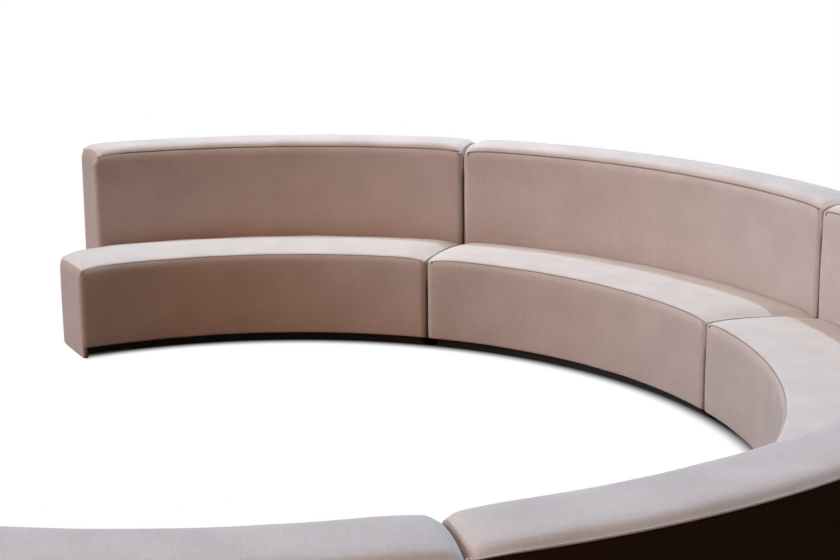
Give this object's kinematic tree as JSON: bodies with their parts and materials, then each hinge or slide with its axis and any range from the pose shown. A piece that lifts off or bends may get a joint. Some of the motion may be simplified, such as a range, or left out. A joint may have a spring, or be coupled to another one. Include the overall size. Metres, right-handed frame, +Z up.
{
  "type": "upholstered banquette bench",
  "caption": "Curved upholstered banquette bench with a high back, built as wedge modules bolted into a ring that is open on one side, on a recessed plinth with levelling feet.",
  "frame": {"origin": "Centre of the plan outline's bounding box, on the floor plane that the levelling feet stand on.", "axes": "+Z is up. The ring opens towards -X, is symmetric about the XZ plane, and its long side is along Y."},
  "size_m": [3.9198, 5.5, 0.9023],
  "materials": {
    "light_fabric": "pinkish beige plain weave",
    "dark_fabric": "dark brown plain weave",
    "plywood": "raw birch plywood",
    "plinth_wood": "black painted plywood",
    "black_steel": "black levelling feet",
    "zinc_steel": "zinc plated fasteners"
  },
  "bodies": {
    "bench": {"seat_cushion_1": "light_fabric", "front_cushion_1": "light_fabric", "back_cushion_1": "light_fabric", "top_cushion_1": "light_fabric", "end_panels_1": "light_fabric", "outer_back_1": "dark_fabric", "seat_deck_1": "plywood", "back_board_1": "plywood", "plinth_1": "plinth_wood", "seat_cushion_2": "light_fabric", "front_cushion_2": "light_fabric", "back_cushion_2": "light_fabric", "top_cushion_2": "light_fabric", "end_panels_2": "light_fabric", "outer_back_2": "dark_fabric", "seat_deck_2": "plywood", "back_board_2": "plywood", "plinth_2": "plinth_wood", "seat_cushion_3": "light_fabric", "front_cushion_3": "light_fabric", "back_cushion_3": "light_fabric", "top_cushion_3": "light_fabric", "end_panels_3": "light_fabric", "outer_back_3": "dark_fabric", "seat_deck_3": "plywood", "back_board_3": "plywood", "plinth_3": "plinth_wood", "seat_cushion_4": "light_fabric", "front_cushion_4": "light_fabric", "back_cushion_4": "light_fabric", "top_cushion_4": "light_fabric", "end_panels_4": "light_fabric", "outer_back_4": "dark_fabric", "seat_deck_4": "plywood", "back_board_4": "plywood", "plinth_4": "plinth_wood", "seat_cushion_5": "light_fabric", "front_cushion_5": "light_fabric", "back_cushion_5": "light_fabric", "top_cushion_5": "light_fabric", "end_panels_5": "light_fabric", "outer_back_5": "dark_fabric", "seat_deck_5": "plywood", "back_board_5": "plywood", "plinth_5": "plinth_wood", "ribs": "plywood", "corner_blocks": "plywood", "joint_bolts": "zinc_steel", "joint_nuts": "zinc_steel", "front_boards": "plywood", "top_boards": "plywood"},
    "feet_1": {"levelling_feet_1": "black_steel"},
    "feet_2": {"levelling_feet_2": "black_steel"},
    "feet_3": {"levelling_feet_3": "black_steel"},
    "feet_4": {"levelling_feet_4": "black_steel"},
    "feet_5": {"levelling_feet_5": "black_steel"}
  },
  "joints": [
    {"name": "feet_height_1", "type": "slide", "parent": "bench", "child": "feet_1", "axis": [0, 0, 1], "range_m": [-0.012, 0.006]},
    {"name": "feet_height_2", "type": "slide", "parent": "bench", "child": "feet_2", "axis": [0, 0, 1], "range_m": [-0.012, 0.006]},
    {"name": "feet_height_3", "type": "slide", "parent": "bench", "child": "feet_3", "axis": [0, 0, 1], "range_m": [-0.012, 0.006]},
    {"name": "feet_height_4", "type": "slide", "parent": "bench", "child": "feet_4", "axis": [0, 0, 1], "range_m": [-0.012, 0.006]},
    {"name": "feet_height_5", "type": "slide", "parent": "bench", "child": "feet_5", "axis": [0, 0, 1], "range_m": [-0.012, 0.006]}
  ]
}
